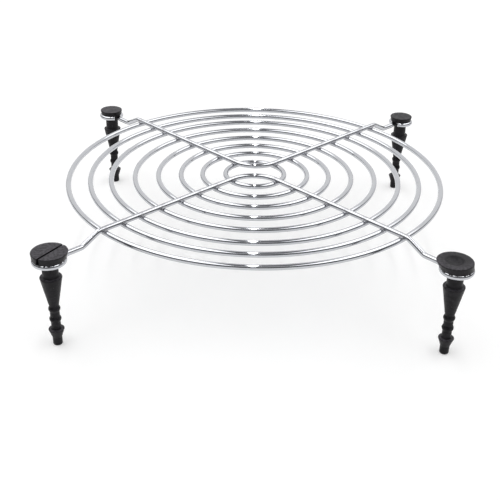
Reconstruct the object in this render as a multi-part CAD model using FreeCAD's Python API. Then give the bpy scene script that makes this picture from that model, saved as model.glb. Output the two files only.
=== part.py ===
import FreeCAD, Part
import math
import os

from FreeCAD import Vector

# Fan guard: eight steel wire rings welded under two V-shaped support wires, whose ends
# are bent into eyelets, with a rubber pull-through pin in each eyelet.
# Millimetres, +Z up, front toward -Y. The origin is on the axis of the rings, at the
# height of the tips of the pins, on which the guard stands.

# Wire
WIRE_RADIUS = 0.8
RING_RADII = (9.0, 16.1, 22.7, 29.6, 36.7, 43.9, 50.1, 56.6)
WELD_DEPTH = 0.45

# Support wires: two Vs with their arms on the diagonals of the square of fixing holes
HOLE_SPACING = 105.0
ARM_RISE = 2.85
UPPER_BEND_AT = 58.5
LOWER_BEND_AT = 64.0
BEND_RADIUS = 2.5
APEX_RADIUS = 9.0

# Eyelets
EYELET_RADIUS = 3.4
EYELET_NECK_RADIUS = 3.0
EYELET_GAP = math.radians(20)

# Rubber pins, as radii, as heights above the plane of the eyelets and as drops below it
HEAD_RADIUS = {"front": 4.9, "rear": 3.85}
HEAD_FOOT_RADIUS = {"front": 4.35, "rear": 3.45}
HEAD_TOP = {"front": 2.7, "rear": 2.2}
HEAD_ROUND = 0.5
HEAD_BED = 0.4
COLLAR_BED = 0.15
NECK_RADIUS = 2.15
PANEL_THICKNESS = 4.0
BARB_RADIUS = 3.0
BARB_LENGTH = 8.5
BARB_END_RADIUS = 1.4
STEM_RADIUS = 1.3
BEAD_DROPS = (14.7, 17.9)
BEAD_RADIUS = 1.6
BEAD_HALF_HEIGHT = 0.9
TAIL_BARB_DROP = 21.1
TAIL_BARB_RADIUS = 2.2
TAIL_BARB_LENGTH = 2.6
PIN_LENGTH = 26.1
TIP_ROUND = 0.4

# Where the pins' turned surfaces close, in degrees round their own axis from +X
CLOSES_AT = 120.0

# Marks in the two front heads
SPLIT_WIDTH = 0.5
SPLIT_DEPTH = 1.8
SPLIT_ANGLE = 59.0
SPLIT_ASIDE = 0.4
DISH_RADIUS = 2.6
DISH_DEPTH = 0.8
DISH_INWARD = 0.2

# Heights and places that follow from the above
EYELET_HEIGHT = PIN_LENGTH
ARM_HEIGHT = EYELET_HEIGHT + ARM_RISE
RING_HEIGHT = ARM_HEIGHT - 2 * WIRE_RADIUS + WELD_DEPTH
EYELET_AT = HOLE_SPACING / math.sqrt(2)
CENTRE_GAP = EYELET_RADIUS + EYELET_NECK_RADIUS
NECK_ALONG = math.sqrt(CENTRE_GAP**2 - EYELET_NECK_RADIUS**2)
FULL_TURN = 2 * math.pi

# Sides of the middle, and how closely an edge's size and place must match to be picked
ROW_SIDE = {"front": -1, "rear": 1}
COLUMN_SIDE = {"left": -1, "right": 1}
PICK_WITHIN = 0.01


def arc(start, middle, end):
    """An arc edge through three points."""
    return Part.Arc(start, middle, end).toShape()


def line(start, end):
    """A straight edge."""
    return Part.LineSegment(start, end).toShape()


def tangent_arc(before, corner, after, radius):
    """The start, middle and end of the arc that rounds a corner between two straight runs."""
    back = (before - corner).normalize()
    ahead = (after - corner).normalize()
    half = back.getAngle(ahead) / 2
    reach = radius / math.tan(half)
    centre = corner + (back + ahead).normalize() * (radius / math.sin(half))
    middle = centre + (corner - centre).normalize() * radius
    return corner + back * reach, middle, corner + ahead * reach


def arm_edges(side_x, row):
    """One arm of a V, from its apex to the open end of its eyelet.

    The arm starts where the right-angled bend at the apex ends, which is as far out as the
    bend's radius. It runs along the diagonal, steps down past the outermost ring, and turns
    a little aside so that the eyelet's loop is centred on the diagonal.
    """
    out = Vector(side_x, ROW_SIDE[row], 0).normalize()
    aside = Vector(-side_x, ROW_SIDE[row], 0).normalize()
    level = Vector(0, 0, ARM_HEIGHT)
    low = Vector(0, 0, EYELET_HEIGHT)

    start = out * APEX_RADIUS + level
    upper = out * UPPER_BEND_AT + level
    lower = out * LOWER_BEND_AT + low
    shank_end = out * (EYELET_AT - NECK_ALONG) + low
    upper_bend = tangent_arc(start, upper, lower, BEND_RADIUS)
    lower_bend = tangent_arc(upper, lower, shank_end, BEND_RADIUS)

    eye = out * EYELET_AT + low
    neck_centre = shank_end + aside * EYELET_NECK_RADIUS
    to_eye = (eye - neck_centre).normalize()
    neck_middle = neck_centre + (to_eye - aside).normalize() * EYELET_NECK_RADIUS
    neck_end = neck_centre + to_eye * EYELET_NECK_RADIUS
    loop_start = math.asin(EYELET_NECK_RADIUS / CENTRE_GAP)
    loop_end = FULL_TURN - EYELET_GAP

    def on_loop(angle):
        return eye + (aside * math.sin(angle) - out * math.cos(angle)) * EYELET_RADIUS

    return [
        line(start, upper_bend[0]),
        arc(*upper_bend),
        line(upper_bend[2], lower_bend[0]),
        arc(*lower_bend),
        line(lower_bend[2], shank_end),
        arc(shank_end, neck_middle, neck_end),
        arc(neck_end, on_loop((loop_start + loop_end) / 2), on_loop(loop_end)),
    ]


def support_wire(row):
    """A V of round wire: two arms joined by the bend at the middle of the guard."""
    corner = Vector(0, 0, ARM_HEIGHT)
    left = Vector(-1, ROW_SIDE[row], ARM_HEIGHT)
    right = Vector(1, ROW_SIDE[row], ARM_HEIGHT)
    apex = arc(*tangent_arc(left, corner, right, APEX_RADIUS))
    path = Part.Wire(arm_edges(-1, row)[::-1] + [apex] + arm_edges(1, row))
    first = path.OrderedEdges[0]
    tangent = first.tangentAt(first.FirstParameter)
    section = Part.Wire(Part.makeCircle(WIRE_RADIUS, first.valueAt(first.FirstParameter), tangent))
    return path.makePipeShell([section], True, False)


def ring(radius, support_wires):
    """A closed ring of round wire, with a seat where each support wire is welded into it."""
    wire = Part.makeTorus(radius, WIRE_RADIUS, Vector(0, 0, RING_HEIGHT), Vector(0, 0, 1))
    return wire.cut(support_wires)


def at(radius, height):
    """A point of a pin's outline, which is drawn in the X-Z plane."""
    return Vector(radius, 0, height)


def pin_body(row):
    """A pin about the Z axis, turned from one outline, with z = 0 in the eyelet's plane."""
    head_radius = HEAD_RADIUS[row]
    head_top = HEAD_TOP[row]
    head_bottom = WIRE_RADIUS - HEAD_BED
    collar_radius = EYELET_RADIUS - WIRE_RADIUS + COLLAR_BED
    collar_bottom = -WIRE_RADIUS
    barb_top = collar_bottom - PANEL_THICKNESS
    barb_bottom = barb_top - BARB_LENGTH
    tail_top = -TAIL_BARB_DROP
    tail_bottom = tail_top - TAIL_BARB_LENGTH

    corners = [
        at(0, head_top),
        at(head_radius, head_top),
        at(HEAD_FOOT_RADIUS[row], head_bottom),
        at(collar_radius, head_bottom),
        at(collar_radius, collar_bottom),
        at(NECK_RADIUS, collar_bottom),
        at(NECK_RADIUS, barb_top),
        at(BARB_RADIUS, barb_top),
        at(BARB_END_RADIUS, barb_bottom),
        at(STEM_RADIUS, barb_bottom),
        at(STEM_RADIUS, tail_top),
        at(TAIL_BARB_RADIUS, tail_top),
        at(STEM_RADIUS, tail_bottom),
        at(STEM_RADIUS, -PIN_LENGTH),
        at(0, -PIN_LENGTH),
        at(0, head_top),
    ]
    outline = Part.Face(Part.makePolygon(corners))
    body = outline.revolve(Vector(0, 0, 0), Vector(0, 0, 1), 360)
    for drop in BEAD_DROPS:
        body = body.fuse(bead(drop))
    return body


def bead(drop):
    """A rounded swelling on a pin's stem, turned from a circular arc."""
    top = at(STEM_RADIUS, BEAD_HALF_HEIGHT - drop)
    bottom = at(STEM_RADIUS, -BEAD_HALF_HEIGHT - drop)
    edges = [
        arc(top, at(BEAD_RADIUS, -drop), bottom),
        line(bottom, at(0, bottom.z)),
        line(at(0, bottom.z), at(0, top.z)),
        line(at(0, top.z), top),
    ]
    return Part.Face(Part.Wire(edges)).revolve(Vector(0, 0, 0), Vector(0, 0, 1), 360)


def round_edges(body, height, radius, roundness):
    """The body with the circular edge of this radius at this height rounded."""
    chosen = [
        edge
        for edge in body.Edges
        if isinstance(edge.Curve, Part.Circle)
        and abs(edge.Curve.Radius - radius) < PICK_WITHIN
        and abs(edge.Curve.Center.z - height) < PICK_WITHIN
    ]
    return body.makeFillet(roundness, chosen)


def rubber_pin(row, column, support_wires):
    """A pin in its eyelet, with the eyelet's wire bedded into the rubber."""
    pin = round_edges(pin_body(row), HEAD_TOP[row], HEAD_RADIUS[row], HEAD_ROUND)
    pin = round_edges(pin, -PIN_LENGTH, STEM_RADIUS, TIP_ROUND)
    pin.rotate(Vector(0, 0, 0), Vector(0, 0, 1), CLOSES_AT)
    if (row, column) == ("front", "left"):
        pin = pin.cut(head_split())
    if (row, column) == ("front", "right"):
        pin = pin.cut(head_dish())
    corner = Vector(COLUMN_SIDE[column], ROW_SIDE[row], 0) * (HOLE_SPACING / 2)
    pin.translate(corner + Vector(0, 0, EYELET_HEIGHT))
    return pin.cut(support_wires)


def head_split():
    """A thin slit right across a head, a little to one side of its middle."""
    length = 4 * HEAD_RADIUS["front"]
    floor = HEAD_TOP["front"] - SPLIT_DEPTH
    corner = Vector(-length / 2, -SPLIT_ASIDE - SPLIT_WIDTH / 2, floor)
    slit = Part.makeBox(length, SPLIT_WIDTH, 2 * SPLIT_DEPTH, corner)
    slit.rotate(Vector(0, 0, 0), Vector(0, 0, 1), SPLIT_ANGLE)
    return slit


def head_dish():
    """A shallow ball-shaped hollow near the middle of a head."""
    ball_radius = (DISH_RADIUS**2 + DISH_DEPTH**2) / (2 * DISH_DEPTH)
    centre = Vector(-DISH_INWARD, 0, HEAD_TOP["front"] - DISH_DEPTH + ball_radius)
    return Part.makeSphere(ball_radius, centre)


def build():
    """All the pieces by the name of their node."""
    nodes = {f"{row}_support_wire": support_wire(row) for row in ROW_SIDE}
    wires = list(nodes.values())
    for number, radius in enumerate(RING_RADII, start=1):
        nodes[f"ring_{number}"] = ring(radius, wires)
    for row in ROW_SIDE:
        for column in COLUMN_SIDE:
            nodes[f"rubber_pin_{row}_{column}"] = rubber_pin(row, column, wires)
    return nodes


os.makedirs("parts", exist_ok=True)
for name, shape in build().items():
    shape.exportStep(f"parts/{name}.step")
    print(name, shape.ShapeType, len(shape.Solids), shape.isValid(), round(shape.Volume, 2))
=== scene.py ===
# %% [markdown]
# A fan guard: eight rings of plated steel wire, welded under two bent support wires, with
# a rubber pin pulled through each of its four eyelets.
#
# The solid model of the guard is loaded first. It fixes every size and place, so the shapes
# below are measured from it and then made again with smooth surfaces, because plated wire
# mirrors its surroundings and shows every flat facet.

# %% Load the frame
import math

import bmesh
import bpy
import numpy as np
from mathutils import Matrix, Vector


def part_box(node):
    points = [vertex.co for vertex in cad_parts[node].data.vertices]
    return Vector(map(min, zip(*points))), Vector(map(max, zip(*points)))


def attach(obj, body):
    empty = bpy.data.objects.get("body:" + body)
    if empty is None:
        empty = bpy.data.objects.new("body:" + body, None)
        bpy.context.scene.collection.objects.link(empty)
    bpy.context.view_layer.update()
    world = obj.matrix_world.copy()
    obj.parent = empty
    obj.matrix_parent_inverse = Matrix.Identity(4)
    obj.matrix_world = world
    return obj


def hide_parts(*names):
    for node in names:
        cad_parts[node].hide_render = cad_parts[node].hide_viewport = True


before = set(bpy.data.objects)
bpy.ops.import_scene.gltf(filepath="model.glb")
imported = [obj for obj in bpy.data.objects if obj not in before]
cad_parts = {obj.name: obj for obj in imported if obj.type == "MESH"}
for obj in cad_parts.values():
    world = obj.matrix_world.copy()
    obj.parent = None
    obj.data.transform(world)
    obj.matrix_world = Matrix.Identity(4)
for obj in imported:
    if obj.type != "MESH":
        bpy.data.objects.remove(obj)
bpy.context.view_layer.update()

# %% [markdown]
# A scene is measured in metres and the guard is only 115 mm wide, so sizes are written in
# millimetres and multiplied by MM.
#
# The rings and the height of the support wires are read from the solid model. A ring's box
# is one wire thick, and its widest point is the ring's radius plus half of that thickness.

# %% Sizes read from the solid model
MM = 0.001
RING_NAMES = [f"ring_{number}" for number in range(1, 9)]

ring_low, ring_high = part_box(RING_NAMES[0])
wire_radius = (ring_high.z - ring_low.z) / 2
ring_height = (ring_high.z + ring_low.z) / 2
ring_radii = [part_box(name)[1].x - wire_radius for name in RING_NAMES]

arms_low, arms_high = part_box("front_support_wire")
arm_height = arms_high.z - wire_radius
eyelet_height = arms_low.z + wire_radius
print("wire", round(2 * wire_radius / MM, 2), "mm thick")
print("ring radii", [round(radius / MM, 1) for radius in ring_radii], "mm")

# %% [markdown]
# Every new piece is a grid of points: one parameter runs along the piece and the other runs
# round it. Neighbouring points make four-sided faces. Where the grid closes on itself, the
# last row joins the first one again.
#
# The next helper turns such a grid into a mesh. Points that coincide, as at a pin's tip, are
# merged. The volume inside the faces tells which way they point: it comes out negative
# when they point inwards, and then each face is turned over.

# %% From a grid of points to a mesh
MERGE_WITHIN = 0.0005 * MM


def grid_faces(rows, columns, close_rows=False, close_columns=True):
    """Point numbers of each face of a grid. The point at (row, column) has the number
    row * columns + column, and a face joins it to the next row and the next column."""
    row = np.arange(rows if close_rows else rows - 1)
    column = np.arange(columns if close_columns else columns - 1)
    row, column = np.meshgrid(row, column, indexing="ij")
    next_row = (row + 1) % rows
    next_column = (column + 1) % columns
    corners = (
        row * columns + column,
        next_row * columns + column,
        next_row * columns + next_column,
        row * columns + next_column,
    )
    return np.stack(corners, axis=-1).reshape(-1, 4)


def enclosed_volume(points, faces):
    """The sum, over the two triangles of each face, of a . (b x c) / 6."""
    a, b, c, d = (points[faces[:, corner]] for corner in range(4))
    first_halves = np.einsum("ij,ij->i", a, np.cross(b, c))
    second_halves = np.einsum("ij,ij->i", a, np.cross(c, d))
    return (first_halves + second_halves).sum() / 6


def put_in_scene(name, data):
    """A new object that holds this data, linked to the scene."""
    thing = bpy.data.objects.new(name, data)
    bpy.context.scene.collection.objects.link(thing)
    return thing


def mesh_piece(name, points, faces, attributes, crease=180):
    """A smooth object with its faces outwards, and with attributes that hold a number or a
    vector for each point. Edges sharper than crease degrees stay sharp."""
    if enclosed_volume(points, faces) < 0:
        faces = faces[:, ::-1]
    mesh = bpy.data.meshes.new(name)
    mesh.from_pydata(points.tolist(), [], faces.tolist())
    for label, values in attributes.items():
        kind, field = ("FLOAT", "value") if values.ndim == 1 else ("FLOAT_VECTOR", "vector")
        layer = mesh.attributes.new(label, kind, "POINT")
        layer.data.foreach_set(field, values.astype(np.float32).ravel())

    cleaner = bmesh.new()
    cleaner.from_mesh(mesh)
    bmesh.ops.remove_doubles(cleaner, verts=cleaner.verts, dist=MERGE_WITHIN)
    cleaner.to_mesh(mesh)
    cleaner.free()
    mesh.shade_smooth()
    mesh.set_sharp_from_angle(angle=math.radians(crease))
    print(name, "has", len(mesh.polygons), "faces")
    return put_in_scene(name, mesh)


# %% [markdown]
# A round wire is a circle carried along a path. Nowhere does this guard's wire stand
# upright, so at each place along the path a level direction and an upright one can be taken
# square to it, and the circle is drawn with those two.
#
# The points also carry two patterns of their own for the finish. "grain" runs slowly along
# the wire and quickly round it, so a texture that reads it is drawn out into lines, as on
# wire pulled through a die. "weld" is 1 at a weld and fades to 0 a little way off.

# %% A wire carried along a path
FULL_TURN = 2 * math.pi
WIRE_SIDES = 32
WELD_REACH = 1.5 * MM
GRAIN_STRETCH = 0.08


def unit(vectors):
    """Vectors divided by their lengths."""
    return vectors / np.linalg.norm(vectors, axis=-1, keepdims=True)


def round_angles(count):
    """Equal steps of a full turn. The last angle is left out: it is the first one again."""
    return np.linspace(0, FULL_TURN, count, endpoint=False)


def carry_circle(path, direction, radii):
    """Points of a round wire: path + radius * (cos(a) * level + sin(a) * upright), with the
    angle a running round the wire."""
    level = unit(np.cross((0.0, 0.0, 1.0), direction))
    upright = np.cross(direction, level)
    angle = round_angles(WIRE_SIDES)[None, :, None]
    across = np.cos(angle) * level[:, None, :] + np.sin(angle) * upright[:, None, :]
    return path[:, None, :] + radii[:, None, None] * across


def wire_attributes(path, lengths, weld_places):
    """The two patterns of a wire. grain is (r cos(a), r sin(a), stretch * length), and weld
    is exp(-(distance to the nearest weld / reach)^2)."""
    angle = round_angles(WIRE_SIDES)[None, :]
    along = (GRAIN_STRETCH * lengths)[:, None] + 0 * angle
    round_x = wire_radius * np.cos(angle) + 0 * along
    round_y = wire_radius * np.sin(angle) + 0 * along
    grain = np.stack((round_x, round_y, along), axis=-1).reshape(-1, 3)

    distance = np.linalg.norm(path[:, None, :] - weld_places[None, :, :], axis=-1).min(axis=1)
    weld = np.exp(-((distance / WELD_REACH) ** 2))
    return {"grain": grain, "weld": np.repeat(weld, WIRE_SIDES)}


# %% [markdown]
# Each ring is cut from straight wire, bent round and closed by a butt weld. Eight separate
# rings are stacked in one jig, so each gets its own piece. The path starts under a support
# wire, where a real guard hides the joint too.

# %% The eight rings
RING_STEP = 0.5 * MM
FEWEST_RING_STEPS = 96
CROSSING_ANGLES = np.radians((45, 135, 225, 315))


def on_circle(radius, angles, height):
    """Points (radius * cos, radius * sin, height)."""
    flat = np.stack((radius * np.cos(angles), radius * np.sin(angles)), axis=-1)
    return np.concatenate((flat, np.full((len(angles), 1), height)), axis=1)


def make_ring(name, radius):
    """A wire circle carried round a closed circular path."""
    count = max(FEWEST_RING_STEPS, round(FULL_TURN * radius / RING_STEP))
    angles = CROSSING_ANGLES[0] + round_angles(count)
    path = on_circle(radius, angles, ring_height)
    direction = np.stack((-np.sin(angles), np.cos(angles), 0 * angles), axis=-1)
    points = carry_circle(path, direction, np.full(count, wire_radius)).reshape(-1, 3)
    faces = grid_faces(count, WIRE_SIDES, close_rows=True)
    welds = on_circle(radius, CROSSING_ANGLES, ring_height)
    attributes = wire_attributes(path, radius * angles, welds)
    return mesh_piece(f"{name}_wire", points, faces, attributes)


rings = [make_ring(name, radius) for name, radius in zip(RING_NAMES, ring_radii)]

# %% [markdown]
# A support wire is one V of wire. It runs from one eyelet up a short slope, along the
# diagonal to the middle, round a bend, and out again the same way. Its path is a line
# through a few corners, each rounded by an arc that touches both of its sides.
#
# For a corner whose two sides meet at an angle, half of that angle gives everything. The
# arc starts radius / tan(half) away from the corner, and its centre is radius / sin(half)
# away.

# %% Lines with rounded corners
ARC_STEPS = 24
SAME_PLACE = 1e-9


def arc_between(centre, start, end, steps=ARC_STEPS):
    """Points from start to end about a centre: centre + (sin((1-t) w) a + sin(t w) b) / sin(w),
    where a and b point to the start and end, and w is the angle between them."""
    a = start - centre
    b = end - centre
    turn = math.acos(np.dot(a, b) / np.linalg.norm(a) / np.linalg.norm(b))
    t = np.linspace(0, 1, steps)[:, None]
    return centre + (np.sin((1 - t) * turn) * a + np.sin(t * turn) * b) / math.sin(turn)


def rounded_line(corners, radii, steps=ARC_STEPS):
    """The line through the corners, with an arc of its own radius in each inner corner."""
    corners = np.asarray(corners, dtype=float)
    stretches = [corners[:1]]
    for before, corner, after, radius in zip(corners, corners[1:], corners[2:], radii):
        back = unit(before - corner)
        ahead = unit(after - corner)
        half = math.acos(np.clip(np.dot(back, ahead), -1, 1)) / 2
        centre = corner + unit(back + ahead) * radius / math.sin(half)
        reach = radius / math.tan(half)
        arc = arc_between(centre, corner + back * reach, corner + ahead * reach, steps)
        stretches.append(arc)
    return np.concatenate([*stretches, corners[-1:]])


def even_steps(path, step):
    """The same path with extra points, so that no two neighbours are further apart than step,
    and the length of the path up to each point."""
    own = np.concatenate(([0], np.cumsum(np.linalg.norm(np.diff(path, axis=0), axis=1))))
    keep = np.concatenate(([True], np.diff(own) > SAME_PLACE))
    lengths = np.union1d(own[keep], np.arange(0, own[-1], step))
    places = [np.interp(lengths, own[keep], path[keep, axis]) for axis in range(path.shape[1])]
    return np.stack(places, axis=-1), lengths


# %% [markdown]
# The eyelet is nearly a full turn of wire round the pin. Just before it the wire swings
# aside by a small reverse bend, so that the loop sits centred on the diagonal. The end of
# the wire meets the shank again under the pin's head.

# %% The path of a support wire
HOLE_SPACING = 105 * MM
UPPER_BEND_AT = 58.5 * MM
LOWER_BEND_AT = 64 * MM
BEND_RADIUS = 2.5 * MM
APEX_RADIUS = 9 * MM
EYELET_RADIUS = {"front": 3.85 * MM, "rear": 3.4 * MM}
EYELET_NECK_RADIUS = 3 * MM
EYELET_GAP = math.radians(20)
EYELET_AT = HOLE_SPACING / math.sqrt(2)
LOOP_STEPS = 4 * ARC_STEPS
ROW_SIDE = {"front": -1, "rear": 1}
COLUMN_SIDE = {"left": -1, "right": 1}


def arm_direction(row, side_x):
    """The level direction from the middle of the guard out along an arm."""
    return unit(np.array((side_x, ROW_SIDE[row], 0.0)))


def loop_points(out, aside, radius):
    """The reverse bend and the loop of an eyelet, from the shank to the wire's end. On the
    loop, a point at angle a is eye + radius * (aside * sin(a) - out * cos(a))."""
    eye = out * EYELET_AT
    centre_gap = radius + EYELET_NECK_RADIUS
    shank_end = out * (EYELET_AT - math.sqrt(centre_gap**2 - EYELET_NECK_RADIUS**2))
    neck_centre = shank_end + aside * EYELET_NECK_RADIUS
    neck_end = neck_centre + unit(eye - neck_centre) * EYELET_NECK_RADIUS
    neck = arc_between(neck_centre, shank_end, neck_end)
    start = math.asin(EYELET_NECK_RADIUS / centre_gap)
    angle = np.linspace(start, FULL_TURN - EYELET_GAP, LOOP_STEPS)[1:, None]
    loop = eye + radius * (aside * np.sin(angle) - out * np.cos(angle))
    return np.concatenate((neck, loop))


def support_path(row):
    """The middle line of a V, from the end of its left eyelet to the end of its right one."""
    level = np.array((0, 0, arm_height))
    low = np.array((0, 0, eyelet_height))
    loops = []
    slopes = []
    for side_x in COLUMN_SIDE.values():
        out = arm_direction(row, side_x)
        loop = loop_points(out, arm_direction(row, -side_x), EYELET_RADIUS[row])
        loop[:, 2] = eyelet_height
        loops.append(loop)
        slopes.append((loop[0], out * LOWER_BEND_AT + low, out * UPPER_BEND_AT + level))
    corners = [*slopes[0], level, *slopes[1][::-1]]
    radii = (BEND_RADIUS, BEND_RADIUS, APEX_RADIUS, BEND_RADIUS, BEND_RADIUS)
    middle = rounded_line(corners, radii)
    return np.concatenate((loops[0][:0:-1], middle, loops[1][1:]))


# %% [markdown]
# Both ends of a support wire are sheared off square. There the circle shrinks to a point
# while it hardly moves along the wire, which leaves a flat face with a small rounded edge.
# The first list below gives the circle's size as a share of the wire's, and the second
# gives its place as a share of that edge's size.

# %% The two support wires
SUPPORT_STEP = 0.4 * MM
SHEARED_EDGE = 0.15 * MM
END_SIZES = np.array((0, 0.5, 0.86, 0.97))
END_PLACES = np.array((0, 0, 0.05, 0.4))


def make_support_wire(row):
    """A wire circle carried along a V, with its two sheared ends."""
    path, lengths = even_steps(support_path(row), SUPPORT_STEP)
    direction = unit(np.gradient(path, lengths, axis=0, edge_order=1))
    radii = np.full(len(path), wire_radius)

    inwards = END_PLACES[:, None] * SHEARED_EDGE
    first = path[0] + inwards * direction[0]
    last = path[-1] - inwards[::-1] * direction[-1]
    path[0] += SHEARED_EDGE * direction[0]
    path[-1] -= SHEARED_EDGE * direction[-1]
    path = np.concatenate((first, path, last))
    starts = [0] * len(END_SIZES)
    ends = [-1] * len(END_SIZES)
    direction = np.concatenate((direction[starts], direction, direction[ends]))
    lengths = np.concatenate((lengths[starts], lengths, lengths[ends]))
    radii = np.concatenate((wire_radius * END_SIZES, radii, wire_radius * END_SIZES[::-1]))

    points = carry_circle(path, direction, radii).reshape(-1, 3)
    out = np.stack([arm_direction(row, side_x) for side_x in COLUMN_SIDE.values()])
    welds = np.concatenate([radius * out for radius in ring_radii])
    welds[:, 2] = arm_height
    faces = grid_faces(len(path), WIRE_SIDES)
    return mesh_piece(f"{row}_v_wire", points, faces, wire_attributes(path, lengths, welds))


support_wires = {f"{row}_support_wire": make_support_wire(row) for row in ROW_SIDE}

# %% [markdown]
# Each crossing is welded by pressing the two wires together while a current runs through
# them. They sink into each other a little, and some metal is squeezed out round the seam.
#
# The seam is where two crossed cylinders meet, one lying along the arm and the other along
# the ring. With the ring's axis at height 0 and the arm's at height h, a point at x along
# the arm has the height z = sqrt(r^2 - x^2) and lies y = sqrt(r^2 - (h - z)^2) aside. A thin
# bead of metal is carried along that curve.

# %% The squeezed-out metal at the welds
SEAM_STEPS = 48
BEAD_SIDES = 12
BEAD_RADIUS = 0.15 * MM
BEAD_UNEVEN = 0.25
BEAD_LUMPS = 2
SEED = 7


def seam_curve(turn):
    """The seam in the axes of one weld: x along the arm, y along the ring and z upwards."""
    gap = arm_height - ring_height
    reach = math.sqrt(wire_radius**2 - (gap - wire_radius) ** 2)
    x = reach * np.cos(turn)
    z = np.sqrt(wire_radius**2 - x**2)
    y = np.sign(np.sin(turn)) * np.sqrt(np.maximum(0, wire_radius**2 - (gap - z) ** 2))
    return np.stack((x, y, z), axis=-1)


def weld_beads(row, random):
    """A bead at every crossing of one V: seam + radius * (cos(b) * outwards + sin(b) * up).
    On its way round, the radius swells and thins in a wave that starts at random."""
    turn = round_angles(SEAM_STEPS)
    round_bead = round_angles(BEAD_SIDES)[None, :, None]
    outwards = np.stack((np.cos(turn), np.sin(turn), 0 * turn), axis=-1)[:, None, :]
    up = np.array((0.0, 0.0, 1.0))
    section = np.cos(round_bead) * outwards + np.sin(round_bead) * up
    seam = seam_curve(turn)[:, None, :]
    points = []
    for side_x in COLUMN_SIDE.values():
        along = arm_direction(row, side_x)
        axes = np.stack((along, np.cross(up, along), up))
        for radius in ring_radii:
            wave = random.uniform(0, FULL_TURN)
            uneven = 1 + BEAD_UNEVEN * np.sin(BEAD_LUMPS * turn + wave)[:, None, None]
            place = along * radius + up * ring_height
            points.append((seam + BEAD_RADIUS * uneven * section) @ axes + place)
    return np.stack(points)


def make_weld_beads(row, random):
    """All the beads of one V in one mesh. Each bead is a ring that closes both ways."""
    points = weld_beads(row, random)
    one = grid_faces(SEAM_STEPS, BEAD_SIDES, close_rows=True)
    first_point = np.arange(len(points)) * SEAM_STEPS * BEAD_SIDES
    faces = (one[None, :, :] + first_point[:, None, None]).reshape(-1, 4)
    points = points.reshape(-1, 3)
    attributes = {"grain": points, "weld": np.ones(len(points))}
    return mesh_piece(f"{row}_weld_beads", points, faces, attributes)


random_numbers = np.random.default_rng(SEED)
beads = [make_weld_beads(row, random_numbers) for row in ROW_SIDE]

# %% [markdown]
# A pin is moulded in one piece from soft rubber. Its tail is pulled through the eyelet and
# a hole in the panel until the barb springs open behind it, and the eyelet is then held
# under the head.
#
# Its outline is a rounded line of radius against height. Rubber has no sharp corners, so
# every corner gets a small arc. Heights are measured from the middle of the eyelet's wire.

# %% The outline of a pin
HEAD_RADIUS = {"front": 4.9 * MM, "rear": 3.85 * MM}
HEAD_FOOT_RADIUS = {"front": 4.35 * MM, "rear": 3.45 * MM}
HEAD_TOP = {"front": 2.7 * MM, "rear": 2.2 * MM}
HEAD_BOTTOM = 0.4 * MM
HEAD_ROUND = 0.2 * MM
COLLAR_BED = 0.15 * MM
COLLAR_BOTTOM = -0.8 * MM
NECK_RADIUS = 2.15 * MM
BARB_TOP = -4.8 * MM
BARB_RADIUS = 3 * MM
BARB_ROUND = 0.25 * MM
BARB_BOTTOM = -13.3 * MM
BARB_END_RADIUS = 1.4 * MM
BARB_END_ROUND = 0.04 * MM
STEM_RADIUS = 1.3 * MM
SWELLINGS = (-14.7 * MM, -17.9 * MM)
SWELLING_CORNER = 1.68 * MM
SWELLING_HALF = 0.9 * MM
SWELLING_ROUND = 0.8 * MM
TAIL_BARB_TOP = -21.1 * MM
TAIL_BARB_RADIUS = 2.2 * MM
TAIL_BARB_BOTTOM = -23.7 * MM
TIP = -eyelet_height
TIP_ROUND = 0.4 * MM
HOLLOW_ROUND = 0.25 * MM
EDGE_ROUND = 0.15 * MM
OUTLINE_STEP = 0.35 * MM
OUTLINE_ARC_STEPS = 16


def pin_outline(row):
    """Radius and height from the middle of the tip up to the edge of the flat top. Each corner
    is given with its radius, its height and the radius of the arc that rounds it."""
    collar_radius = EYELET_RADIUS[row] - wire_radius + COLLAR_BED
    corners = [
        (0, TIP, 0),
        (STEM_RADIUS, TIP, TIP_ROUND),
        (STEM_RADIUS, TAIL_BARB_BOTTOM, HOLLOW_ROUND),
        (TAIL_BARB_RADIUS, TAIL_BARB_TOP, EDGE_ROUND),
        (STEM_RADIUS, TAIL_BARB_TOP, HOLLOW_ROUND),
    ]
    for middle in SWELLINGS[::-1]:
        corners += [
            (STEM_RADIUS, middle - SWELLING_HALF, HOLLOW_ROUND),
            (SWELLING_CORNER, middle, SWELLING_ROUND),
            (STEM_RADIUS, middle + SWELLING_HALF, HOLLOW_ROUND),
        ]
    corners += [
        (STEM_RADIUS, BARB_BOTTOM, BARB_END_ROUND),
        (BARB_END_RADIUS, BARB_BOTTOM, BARB_END_ROUND),
        (BARB_RADIUS, BARB_TOP, BARB_ROUND),
        (NECK_RADIUS, BARB_TOP, HOLLOW_ROUND),
        (NECK_RADIUS, COLLAR_BOTTOM, HOLLOW_ROUND),
        (collar_radius, COLLAR_BOTTOM, EDGE_ROUND),
        (collar_radius, HEAD_BOTTOM, EDGE_ROUND),
        (HEAD_FOOT_RADIUS[row], HEAD_BOTTOM, EDGE_ROUND),
        (HEAD_RADIUS[row], HEAD_TOP[row], HEAD_ROUND),
        (0, HEAD_TOP[row], 0),
    ]
    places = [corner[:2] for corner in corners]
    roundings = [corner[2] for corner in corners[1:-1]]
    line = rounded_line(places, roundings, OUTLINE_ARC_STEPS)
    return even_steps(line[:-1], OUTLINE_STEP)[0]


outlines = {row: pin_outline(row) for row in ROW_SIDE}
for row, outline in outlines.items():
    print("outline of the", row, "pins has", len(outline), "points")

# %% [markdown]
# The two front heads are marked: the left one is split right across and the right one
# has a shallow dish. A surface turned about the axis can't hold a straight split, so the
# pin is cut into slices side by side instead, like a loaf. Each slice goes up one side,
# straight across the top and down the other side. The slices between the two lips of the
# split are held down at its floor, and the steps between them and their neighbours become
# the split's walls.

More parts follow.
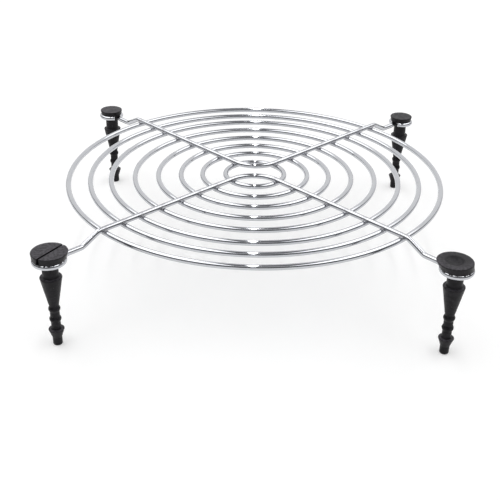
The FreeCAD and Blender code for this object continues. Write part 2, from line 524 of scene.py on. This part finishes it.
# %% The slices of a pin
SLICE_ANGLE = 2
NEAREST_SLICE = 0.5
SPLIT_WIDTH = 0.6 * MM
SPLIT_ASIDE = 0.4 * MM


def slice_angles(top_radius, split):
    """The angle of each slice, from -90 to 90 degrees, and whether it lies in the split. Each
    lip has two slices at the same angle, one outside the split and one inside."""
    angles = np.arange(-90, 90 + SLICE_ANGLE / 2, SLICE_ANGLE)
    inside = np.zeros(len(angles), dtype=bool)
    if split:
        lips = np.array((-SPLIT_ASIDE - SPLIT_WIDTH / 2, -SPLIT_ASIDE + SPLIT_WIDTH / 2))
        low, high = np.degrees(np.arcsin(lips / top_radius))
        before = angles[angles < low - NEAREST_SLICE]
        after = angles[angles > high + NEAREST_SLICE]
        angles = np.concatenate((before, (low, low, high, high), after))
        inside = np.zeros(len(angles), dtype=bool)
        inside[len(before) + 1 : len(before) + 3] = True
    return np.radians(angles), inside


# %% [markdown]
# Where the parts of the mould meet, at the lower edge of the head, a little rubber is
# squeezed out. It leaves a thin uneven rim called flash, which is made here of many waves
# of different lengths.
#
# The dish is a smooth step down, and on the same head shade is painted over the dish and
# the top behind it. Both are formulas of the distance from a middle, and a high power of it
# gives a clear edge.

# %% Flash, the dish and the painted shade on its top
FLASH_DEPTH = 0.16 * MM
FLASH_REACH = 0.5 * MM
FLASH_FROM = 0.95
FLASH_WAVES = np.arange(5, 36)
TOP_SKIN = 0.5 * MM
DISH_RADIUS = 2.6 * MM
DISH_DEPTH = 0.8 * MM
DISH_INWARD = 0.2 * MM
DISH_POWER = 4
DISH_RIM = 0.01
# The painted shade on the top of the head with the dish: its middle, its radius and the power
# that sharpens its edge.
PAINTED_SHADE_MIDDLE = (0.6 * MM, 0.9 * MM)
PAINTED_SHADE_RADIUS = 3.9 * MM
PAINTED_SHADE_POWER = 8


def flash(points, foot_radius, random):
    """How far the flash stands out: a sum of waves round the axis, times
    exp(-(height above the head's lower edge / reach)^2)."""
    azimuth = np.arctan2(points[..., 1], points[..., 0])
    count = len(FLASH_WAVES)
    heights = random.normal(0, 1, count) / count**0.5
    starts = random.uniform(0, FULL_TURN, count)
    ripple = (heights * np.sin(azimuth[..., None] * FLASH_WAVES + starts)).sum(axis=-1)
    distance = (points[..., 2] - HEAD_BOTTOM) / FLASH_REACH
    outside = np.hypot(points[..., 0], points[..., 1]) > FLASH_FROM * foot_radius
    return FLASH_DEPTH * ripple * np.exp(-(distance**2)) * outside


def dish_shape(points, head_top):
    """1 in the dish and 0 round it. With d the distance from the dish's middle over its radius,
    h = 1 - d^4, rounded at the rim as (h + sqrt(h^2 + 0.01)) / 2."""
    distance = np.hypot(points[..., 0] + DISH_INWARD, points[..., 1]) / DISH_RADIUS
    hollow = 1 - distance**DISH_POWER
    on_top = points[..., 2] > head_top - TOP_SKIN
    return on_top * (hollow + np.sqrt(hollow**2 + DISH_RIM)) / 2


def painted_dish_shade(points, head_top):
    """Painted shade on the top with the dish: 1 / (1 + d^8), with d the distance from the
    middle of the shaded part over its radius. Only the edge at the front left is left out."""
    aside = points[..., 0] - PAINTED_SHADE_MIDDLE[0]
    back = points[..., 1] - PAINTED_SHADE_MIDDLE[1]
    on_top = points[..., 2] > head_top - TOP_SKIN - DISH_DEPTH
    return on_top / (1 + (np.hypot(aside, back) / PAINTED_SHADE_RADIUS) ** PAINTED_SHADE_POWER)


# %% [markdown]
# Now the slices are filled with points. Soft as they are, the two front heads also lean a
# little inwards, and the rear heads carry less of the film of dust and painted top light all
# over.

# %% The four pins
CHORD_STEPS = 48
SPLIT_DEPTH = 1.8 * MM
SPLIT_ANGLE = math.radians(59)
PIN_CREASE = 50
HEAD_MARKS = {("front", "left"): "split", ("front", "right"): "dish"}
HEAD_LEANS = {("front", "left"): 0.3 * MM, ("front", "right"): -0.75 * MM}
# How much of the film of dust and painted top light each rear head has lost.
HEAD_RUBS = {("rear", "left"): 0.25, ("rear", "right"): 0.9}


def pin_points(row, mark, random):
    """Each slice at angle a has the points (q cos(a), w sin(a), z). Along a slice q runs from
    0 at the tip out to the side, back across the top and down to the tip again. w is the
    distance from the axis, and stays as wide as the flat top all the way across."""
    radius, height = outlines[row].T
    top_radius = radius[-1]
    across = np.linspace(top_radius, -top_radius, CHORD_STEPS)[1:-1]
    q = np.concatenate((radius, across, -radius[::-1]))
    w = np.concatenate((radius, np.full(len(across), top_radius), radius[::-1]))
    z = np.concatenate((height, np.full(len(across), HEAD_TOP[row]), height[::-1]))

    angles, inside = slice_angles(top_radius, mark == "split")
    x = q[None, :] * np.cos(angles)[:, None]
    y = w[None, :] * np.sin(angles)[:, None]
    z = np.repeat(z[None, :], len(angles), axis=0)
    if mark == "split":
        z[inside] = np.minimum(z[inside], HEAD_TOP[row] - SPLIT_DEPTH)
    points = np.stack((x, y, z), axis=-1)
    dish_shade_and_rub = np.zeros(z.shape)
    if mark == "dish":
        # Painted shade over the dish and the top behind it, kept as a pattern for the material.
        dish_shade_and_rub = painted_dish_shade(points, HEAD_TOP[row])
        points[..., 2] -= DISH_DEPTH * dish_shape(points, HEAD_TOP[row])

    swell = 1 + flash(points, HEAD_FOOT_RADIUS[row], random) / HEAD_FOOT_RADIUS[row]
    points[..., :2] *= swell[..., None]
    return points, dish_shade_and_rub


def make_pin(row, column, random):
    """A pin at its corner of the square of fixing holes. A head that leans is moved sideways by
    lean * (height above the head's foot) / (height of the head)."""
    mark = HEAD_MARKS.get((row, column))
    points, dish_shade_and_rub = pin_points(row, mark, random)
    faces = grid_faces(points.shape[0], points.shape[1], close_columns=False)
    turn = SPLIT_ANGLE if mark == "split" else 0
    cos, sin = math.cos(turn), math.sin(turn)
    points = points.reshape(-1, 3) @ np.array(((cos, sin, 0), (-sin, cos, 0), (0, 0, 1)))
    up_the_head = (points[:, 2] - HEAD_BOTTOM) / (HEAD_TOP[row] - HEAD_BOTTOM)
    points[:, 0] += HEAD_LEANS.get((row, column), 0) * np.clip(up_the_head, 0, 1)
    corner = np.array((COLUMN_SIDE[column], ROW_SIDE[row], 0)) * HOLE_SPACING / 2
    points += corner + np.array((0, 0, eyelet_height))
    # The same pattern also says how much of the film of dust and painted top light the rear
    # heads have lost.
    dish_shade_and_rub = np.maximum(dish_shade_and_rub, HEAD_RUBS.get((row, column), 0))
    attributes = {"dish_shade_and_rub": dish_shade_and_rub.ravel()}
    return mesh_piece(f"pin_{row}_{column}", points, faces, attributes, PIN_CREASE)


pins = {
    f"rubber_pin_{row}_{column}": make_pin(row, column, random_numbers)
    for row in ROW_SIDE
    for column in COLUMN_SIDE
}

# %% [markdown]
# Both finishes need the same kind of soft, cloudy unevenness, at different sizes: haze on
# the plating and bloom on the rubber. It is made once as a node group. Noise is spread
# between a low and a high level, so that the group gives a mask from 0 to 1.

# %% A group for soft mottling
NOISE_DETAIL = 4


def make_mottle_group():
    """Noise, spread so that levels below Low give 0 and levels above High give 1."""
    group = bpy.data.node_groups.new("soft_mottle", "ShaderNodeTree")
    sockets = group.interface
    sockets.new_socket(name="Vector", in_out="INPUT", socket_type="NodeSocketVector")
    for name in ("Scale", "Low", "High"):
        sockets.new_socket(name=name, in_out="INPUT", socket_type="NodeSocketFloat")
    sockets.new_socket(name="Mask", in_out="OUTPUT", socket_type="NodeSocketFloat")

    start = group.nodes.new("NodeGroupInput")
    end = group.nodes.new("NodeGroupOutput")
    noise = group.nodes.new("ShaderNodeTexNoise")
    noise.inputs["Detail"].default_value = NOISE_DETAIL
    spread = group.nodes.new("ShaderNodeMapRange")
    spread.interpolation_type = "SMOOTHSTEP"
    group.links.new(start.outputs["Vector"], noise.inputs["Vector"])
    group.links.new(start.outputs["Scale"], noise.inputs["Scale"])
    group.links.new(noise.outputs["Fac"], spread.inputs["Value"])
    group.links.new(start.outputs["Low"], spread.inputs["From Min"])
    group.links.new(start.outputs["High"], spread.inputs["From Max"])
    group.links.new(spread.outputs["Result"], end.inputs["Mask"])
    return group


def add_mottle(tree, vector, scale, low, high):
    """Places the group in a material's tree with its own values, and returns its mask."""
    node = tree.nodes.new("ShaderNodeGroup")
    node.node_tree = mottle_group
    node.inputs["Scale"].default_value = scale
    node.inputs["Low"].default_value = low
    node.inputs["High"].default_value = high
    tree.links.new(vector, node.inputs["Vector"])
    return node.outputs["Mask"]


mottle_group = make_mottle_group()
print(mottle_group.name, "has", len(mottle_group.nodes), "nodes")

# %% [markdown]
# A new material comes with one shader, and both finishes are made by feeding values to it.
# Small helpers keep that short: one mixes two colours by a mask, one turns a mask into a
# value between two limits, one combines values, and one makes a bump from a mask.


# %% Helpers for materials
def new_material(name):
    """A new material, its node tree and the shader in it."""
    material = bpy.data.materials.new(name)
    material.use_nodes = True
    tree = material.node_tree
    return material, tree, tree.nodes["Principled BSDF"]


def mix_colours(tree, mask, low, high):
    """The colour low where the mask is 0 and high where it is 1. low may be a node's output."""
    mix = tree.nodes.new("ShaderNodeMix")
    mix.data_type = "RGBA"
    if isinstance(low, tuple):
        mix.inputs["A"].default_value = (*low, 1)
    else:
        tree.links.new(low, mix.inputs["A"])
    mix.inputs["B"].default_value = (*high, 1)
    tree.links.new(mask, mix.inputs["Factor"])
    return mix.outputs["Result"]


def between(tree, mask, low, high, start=0, stop=1):
    """A value that goes from low to high as the mask goes from start to stop."""
    spread = tree.nodes.new("ShaderNodeMapRange")
    spread.inputs["From Min"].default_value = start
    spread.inputs["From Max"].default_value = stop
    spread.inputs["To Min"].default_value = low
    spread.inputs["To Max"].default_value = high
    tree.links.new(mask, spread.inputs["Value"])
    return spread.outputs["Result"]


def combine(tree, operation, *values):
    """Two or more values added, multiplied or compared, one after the other."""
    result = values[0]
    for value in values[1:]:
        node = tree.nodes.new("ShaderNodeMath")
        node.operation = operation
        tree.links.new(result, node.inputs[0])
        tree.links.new(value, node.inputs[1])
        result = node.outputs[0]
    return result


def bump(tree, height, strength, depth, below=None):
    """A bump of this depth, laid over another one where there is one."""
    node = tree.nodes.new("ShaderNodeBump")
    node.inputs["Strength"].default_value = strength
    node.inputs["Distance"].default_value = depth
    tree.links.new(height, node.inputs["Height"])
    if below is not None:
        tree.links.new(below, node.inputs["Normal"])
    return node.outputs["Normal"]


def attribute(tree, name, output):
    """One of a mesh's own patterns, read by its name."""
    node = tree.nodes.new("ShaderNodeAttribute")
    node.attribute_name = name
    return node.outputs[output]


# %% [markdown]
# The guard is plated after it is welded, so wires and welds share one bright skin. Real
# plating isn't a perfect mirror. The drawn wire shows through it as faint lines, there is
# haze in patches, and deep in the nook of a weld the plating is thin, dull and darker.
#
# Each mottle below has a scale, a low level and a high level. A roughness has a value
# without the mottle and one with it, and a bump has a strength and a depth.

# %% Bright plating
PLATING_COLOUR = (0.55, 0.56, 0.585)
PLATING_LINES = (0.51, 0.52, 0.545)
PLATING_NOOK = (0.4, 0.4, 0.42)
LINE_MOTTLE = (3500, 0.3, 0.7)
HAZE_MOTTLE = (90, 0.4, 0.7)
NOOK_MOTTLE = (1400, 0.35, 0.6)
HAZE_ROUGHNESS = (0.05, 0.16)
NOOK_ROUGHNESS = (0, 0.2)
LINE_BUMP = (0.2, 0.004 * MM)


def make_plating():
    """A metal whose colour, roughness and bump follow the wire."""
    material, tree, shader = new_material("bright_plating")
    place = tree.nodes.new("ShaderNodeTexCoord").outputs["Object"]
    lines = add_mottle(tree, attribute(tree, "grain", "Vector"), *LINE_MOTTLE)
    haze = add_mottle(tree, place, *HAZE_MOTTLE)
    nook = add_mottle(tree, place, *NOOK_MOTTLE)
    dull = combine(tree, "MULTIPLY", attribute(tree, "weld", "Fac"), nook)

    clean = mix_colours(tree, lines, PLATING_COLOUR, PLATING_LINES)
    colour = mix_colours(tree, dull, clean, PLATING_NOOK)
    haze_roughness = between(tree, haze, *HAZE_ROUGHNESS)
    nook_roughness = between(tree, dull, *NOOK_ROUGHNESS)
    roughness = combine(tree, "ADD", haze_roughness, nook_roughness)
    tree.links.new(colour, shader.inputs["Base Color"])
    tree.links.new(roughness, shader.inputs["Roughness"])
    tree.links.new(bump(tree, lines, *LINE_BUMP), shader.inputs["Normal"])
    shader.inputs["Metallic"].default_value = 1
    print(material.name, "has", len(tree.nodes), "nodes")
    return material


plating = make_plating()

# %% [markdown]
# The rubber is a soft black compound with a dull sheen. Handling leaves lighter, cloudy
# patches, and the mould's spark-eroded wall leaves a fine pebbled grain, which the bump
# gives. A lighter film on whatever looks up stands for dust and also paints the light that
# falls on the tops, so the tops of the heads are greyer than their sides. The surface's own
# direction tells where that is: its upright part is 1 on top and 0 on a wall. On the head
# with the dish that film is taken off over the dish and the top behind it, which paints shade
# there, and the rear heads carry less of it, the rear right one least.

# %% Black rubber
RUBBER_DARK = (0.005, 0.0045, 0.006)
RUBBER_LIGHT = (0.014, 0.013, 0.0155)
RUBBER_ROUGHNESS = (0.34, 0.5)
RUBBER_SPECULAR = 0.18
# The colour of the lighter film on upward faces: dust, and painted light on the tops.
DUST_AND_TOP_LIGHT = (0.053, 0.049, 0.058)
DUST_SPECK = (0.13, 0.125, 0.125)
TOP_LIGHT_AND_DUST_NONE_AT = math.cos(math.radians(60))
TOP_LIGHT_AND_DUST_FULL_AT = math.cos(math.radians(20))
TOP_LIGHT_AND_DUST_BETWEEN_FLECKS = 0.2
FILM_IN_SHADE_AND_RUB = 0.15
CLOUD_MOTTLE = (700, 0.38, 0.64)
SPECK_MOTTLE = (4200, 0.68, 0.74)
PEBBLE_MOTTLE = (6000, 0.3, 0.7)
FLECK_MOTTLE = (1500, 0.35, 0.6)
CLOUD_BUMP = (0.3, 0.06 * MM)
PEBBLE_BUMP = (0.35, 0.015 * MM)


def looks_up(tree, facing):
    """A mask that goes from 0 where a surface is 60 degrees off level to 1 at 20 degrees."""
    parts = tree.nodes.new("ShaderNodeSeparateXYZ")
    tree.links.new(facing, parts.inputs["Vector"])
    return between(tree, parts.outputs["Z"], 0, 1, TOP_LIGHT_AND_DUST_NONE_AT, TOP_LIGHT_AND_DUST_FULL_AT)


def make_rubber():
    """A dull black with cloudy patches, a film of dust and painted top light, specks of dust,
    and a pebbled grain.
    """
    material, tree, shader = new_material("black_rubber")
    coordinates = tree.nodes.new("ShaderNodeTexCoord")
    place = coordinates.outputs["Object"]
    cloud = add_mottle(tree, place, *CLOUD_MOTTLE)
    specks = add_mottle(tree, place, *SPECK_MOTTLE)
    pebbles = add_mottle(tree, place, *PEBBLE_MOTTLE)
    flecks = add_mottle(tree, place, *FLECK_MOTTLE)

    upward = looks_up(tree, coordinates.outputs["Normal"])
    patchy = between(tree, flecks, TOP_LIGHT_AND_DUST_BETWEEN_FLECKS, 1)
    # The film of dust and painted top light is cut down where shade is painted on the dish head,
    # and where the rear heads have lost some.
    outside_shade_and_rub = between(tree, attribute(tree, "dish_shade_and_rub", "Fac"), 1, FILM_IN_SHADE_AND_RUB)
    # Dust and painted top light: a lighter film on faces that look up.
    film = combine(tree, "MULTIPLY", upward, patchy, outside_shade_and_rub)
    body = mix_colours(tree, cloud, RUBBER_DARK, RUBBER_LIGHT)
    with_dust_and_top_light = mix_colours(tree, film, body, DUST_AND_TOP_LIGHT)
    colour = mix_colours(tree, specks, with_dust_and_top_light, DUST_SPECK)
    swell = bump(tree, cloud, *CLOUD_BUMP)
    tree.links.new(colour, shader.inputs["Base Color"])
    tree.links.new(between(tree, cloud, *RUBBER_ROUGHNESS), shader.inputs["Roughness"])
    tree.links.new(bump(tree, pebbles, *PEBBLE_BUMP, swell), shader.inputs["Normal"])
    shader.inputs["Specular IOR Level"].default_value = RUBBER_SPECULAR
    print(material.name, "has", len(tree.nodes), "nodes")
    return material


rubber = make_rubber()

# %% [markdown]
# Each smooth piece now takes the place of the solid that it was measured from. The weld
# beads stand for no solid of their own, so they only ride along.


# %% Put the pieces in place of the solids
def finish_piece(piece, material, slot, *nodes):
    """Gives a piece its material and lets it stand for these solids. The slot is not used."""
    piece.data.materials.append(material)
    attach(piece, "root")
    if nodes:
        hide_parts(*nodes)


for name, ring in zip(RING_NAMES, rings):
    finish_piece(ring, plating, "chrome_wire", name)
for name, wire in support_wires.items():
    finish_piece(wire, plating, "chrome_wire", name)
for bead in beads:
    finish_piece(bead, plating, "chrome_wire")
for name, pin in pins.items():
    finish_piece(pin, rubber, "black_rubber", name)
print("pieces", len(rings) + len(support_wires) + len(beads) + len(pins))

# %% [markdown]
# The guard stands on a wide white floor. The floor is lit like everything else, so it keeps
# the guard's shadow. Seen by the camera or in the plating it also shines faintly, which
# lifts it to a clean white without putting more light on the guard. Far out, where the
# lamps hardly reach, it shines as brightly as the sky, so that no edge shows between them.

# %% The floor
FLOOR_RADIUS = 3.0
FLOOR_RINGS = 12
FLOOR_SIDES = 64
FLOOR_COLOUR = (0.8, 0.8, 0.8)
FLOOR_LIFT = 0.24
LIFT_GROWS_FROM = 0.3
LIFT_FULL_AT = 1.6


def make_floor():
    """A flat disc: rings of points (r cos(a), r sin(a), 0)."""
    radius = np.linspace(0, FLOOR_RADIUS, FLOOR_RINGS)[:, None]
    angle = round_angles(FLOOR_SIDES)[None, :]
    height = 0 * radius * angle
    points = np.stack((radius * np.cos(angle), radius * np.sin(angle), height), axis=-1)
    faces = grid_faces(FLOOR_RINGS, FLOOR_SIDES)[:, ::-1]
    mesh = bpy.data.meshes.new("floor")
    mesh.from_pydata(points.reshape(-1, 3).tolist(), [], faces.tolist())
    return put_in_scene("floor", mesh)


def make_matte(name, colour):
    """A new material of one colour with no gloss, its node tree and its shader."""
    material, tree, shader = new_material(name)
    shader.inputs["Base Color"].default_value = (*colour, 1)
    shader.inputs["Roughness"].default_value = 1
    shader.inputs["Specular IOR Level"].default_value = 0
    return material, tree, shader


def seen_or_mirrored(tree):
    """1 for rays from the camera and rays that mirror or pass through something, else 0."""
    rays = tree.nodes.new("ShaderNodeLightPath").outputs
    names = ("Is Camera Ray", "Is Glossy Ray", "Is Transmission Ray")
    return combine(tree, "MAXIMUM", *(rays[name] for name in names))


def floor_lift(tree):
    """The glow's strength: FLOOR_LIFT near the guard, and 1 far out."""
    place = tree.nodes.new("ShaderNodeTexCoord").outputs["Object"]
    distance = tree.nodes.new("ShaderNodeVectorMath")
    distance.operation = "LENGTH"
    tree.links.new(place, distance.inputs[0])
    length = distance.outputs["Value"]
    return between(tree, length, FLOOR_LIFT, 1, LIFT_GROWS_FROM, LIFT_FULL_AT)


def make_floor_material():
    """Diffuse white plus a glow that only seen and mirrored rays pick up."""
    material, tree, shader = make_matte("white_floor", FLOOR_COLOUR)
    glow = combine(tree, "MULTIPLY", seen_or_mirrored(tree), floor_lift(tree))
    tree.links.new(glow, shader.inputs["Emission Strength"])
    shader.inputs["Emission Color"].default_value = (1, 1, 1, 1)
    return material


floor = make_floor()
floor.data.materials.append(make_floor_material())
print("floor", 2 * FLOOR_RADIUS, "m wide")

# %% [markdown]
# Bright metal looks like whatever stands round it. Under an even white sky it would vanish
# against the white floor, so some dark card stands out of the camera's sight, as it does
# round any shiny object in a studio. A curtain is tall in front, low at the sides and open
# at the back, and a card hangs overhead. Each wire mirrors them as dark lines along its
# length.

# %% The sky, the dark curtain and the card overhead
SKY_LEVEL = 0.35
CURTAIN_RADIUS = 0.9
CURTAIN_HEIGHT = 1.3
CURTAIN_POWER = 1.2
CURTAIN_FOOT = 0.002
CURTAIN_SIDES = 96
CURTAIN_SHARES = (0.0, 0.5, 1.0)
CURTAIN_CLEAR = (0.0, 0.0, 1.0)
CURTAIN_COLOUR = (0.14, 0.14, 0.148)
CARD_COLOUR = (0.3, 0.3, 0.32)
CARD_CORNERS = ((-0.25, -0.64), (0.45, -0.64), (0.45, 0.64), (-0.25, 0.64))
CARD_HEIGHT = 1.1


def make_sky():
    """White where it is seen or mirrored, and a plain level of light on everything else."""
    world = bpy.data.worlds.new("studio_sky")
    world.use_nodes = True
    tree = world.node_tree
    background = tree.nodes["Background"]
    background.inputs["Color"].default_value = (1, 1, 1, 1)
    strength = between(tree, seen_or_mirrored(tree), SKY_LEVEL, 1)
    tree.links.new(strength, background.inputs["Strength"])
    bpy.context.scene.world = world


def make_card_material(name, colour):
    """Card that thins out to nothing as its own pattern "clear" goes from 0 to 1."""
    material, tree, shader = make_matte(name, colour)
    clear = attribute(tree, "clear", "Fac")
    tree.links.new(between(tree, clear, 1, 0), shader.inputs["Alpha"])
    return material


def hang(name, points, faces, material):
    """A piece of card that only shows where the metal mirrors it."""
    mesh = bpy.data.meshes.new(name)
    mesh.from_pydata(points.tolist(), [], faces)
    mesh.materials.append(material)
    card = put_in_scene(name, mesh)
    card.visible_camera = False
    card.visible_diffuse = False
    card.visible_shadow = False
    print(name, "hangs up to", round(points[:, 2].max(), 2), "m high")
    return mesh


def make_curtain():
    """Points (r cos(a), r sin(a), t h) with h = height * ((1 - sin(a)) / 2)^1.2, which is
    tallest in front. The upper half, with the share t over 0.5, fades out."""
    angle = round_angles(CURTAIN_SIDES)
    top = CURTAIN_HEIGHT * ((1 - np.sin(angle)) / 2) ** CURTAIN_POWER
    flat = CURTAIN_RADIUS * np.stack((np.cos(angle), np.sin(angle)), axis=-1)
    rows = [
        np.concatenate((flat, (share * top + CURTAIN_FOOT)[:, None]), axis=1)
        for share in CURTAIN_SHARES
    ]
    faces = grid_faces(len(rows), CURTAIN_SIDES).tolist()
    material = make_card_material("black_card", CURTAIN_COLOUR)
    mesh = hang("dark_curtain", np.concatenate(rows), faces, material)
    clear = mesh.attributes.new("clear", "FLOAT", "POINT")
    clear.data.foreach_set("value", np.repeat(CURTAIN_CLEAR, CURTAIN_SIDES))


make_sky()
make_curtain()
overhead = np.array([(x, y, CARD_HEIGHT) for x, y in CARD_CORNERS])
hang("overhead_card", overhead, [(0, 1, 2, 3)], make_card_material("grey_card", CARD_COLOUR))

# %% [markdown]
# Three lamps do the rest, and all face straight down. Two wide soft boxes, left and right
# of the overhead card, draw the long highlights on the arcs at either side. Between them a
# narrow strip leaves a bright spot where each ring crosses the line from front to back.
#
# Each lamp is given with its place, its width, its depth and its power in watts.

# %% The lamps
LAMPS = {
    "left_soft_box": ((-0.66, 0.05, 1.0), 0.98, 1.7, 8.4),
    "right_soft_box": ((0.75, 0.05, 1.0), 0.8, 1.7, 6.8),
    "strip_lamp": ((0, -0.2, 0.9), 0.042, 1.08, 1.3),
}


def add_lamp(name, place, width, depth, watts):
    """A rectangular lamp that shines straight down and isn't in the picture itself."""
    data = bpy.data.lights.new(name, "AREA")
    data.shape = "RECTANGLE"
    data.size = width
    data.size_y = depth
    data.energy = watts
    lamp = put_in_scene(name, data)
    lamp.location = place
    lamp.visible_camera = False
    print(name, "gives", watts, "W")


for name, values in LAMPS.items():
    add_lamp(name, *values)

# %% [markdown]
# The camera stands where the picture was taken: a quarter of a metre in front, looking down
# at about thirty degrees and leaning a little over one degree to the side. Its angles are
# in radians. Its lens was worked out from the rings, which look like ellipses whose shapes
# give the distance.

# %% The camera
CAMERA_PLACE = (-0.1 * MM, -243.7 * MM, 138.7 * MM)
CAMERA_DOWN = 0.5149
CAMERA_ASIDE = -0.0036
CAMERA_LEAN = 0.0213
LENS = 62.06
SENSOR = 36.0
NEAREST_SEEN = 0.01


def camera_axes(aside, down, lean):
    """The camera's own x, y and z axes as columns: first it turns aside and down, then leans."""
    right = np.array((math.cos(aside), -math.sin(aside), 0))
    flat = np.array((math.sin(aside), math.cos(aside), 0))
    forward = math.cos(down) * flat - math.sin(down) * np.array((0, 0, 1.0))
    up = np.cross(right, forward)
    x = math.cos(lean) * right + math.sin(lean) * up
    y = -math.sin(lean) * right + math.cos(lean) * up
    return np.stack((x, y, -forward), axis=-1)


camera_data = bpy.data.cameras.new("camera")
camera_data.lens = LENS
camera_data.sensor_width = SENSOR
camera_data.clip_start = NEAREST_SEEN
camera = put_in_scene("camera", camera_data)
view = np.eye(4)
view[:3, :3] = camera_axes(CAMERA_ASIDE, CAMERA_DOWN, CAMERA_LEAN)
view[:3, 3] = CAMERA_PLACE
camera.matrix_world = Matrix(view.tolist())
bpy.context.scene.camera = camera
bpy.context.scene.view_settings.view_transform = "Standard"
print("camera", round(float(np.linalg.norm(CAMERA_PLACE)), 3), "m from the guard's foot")
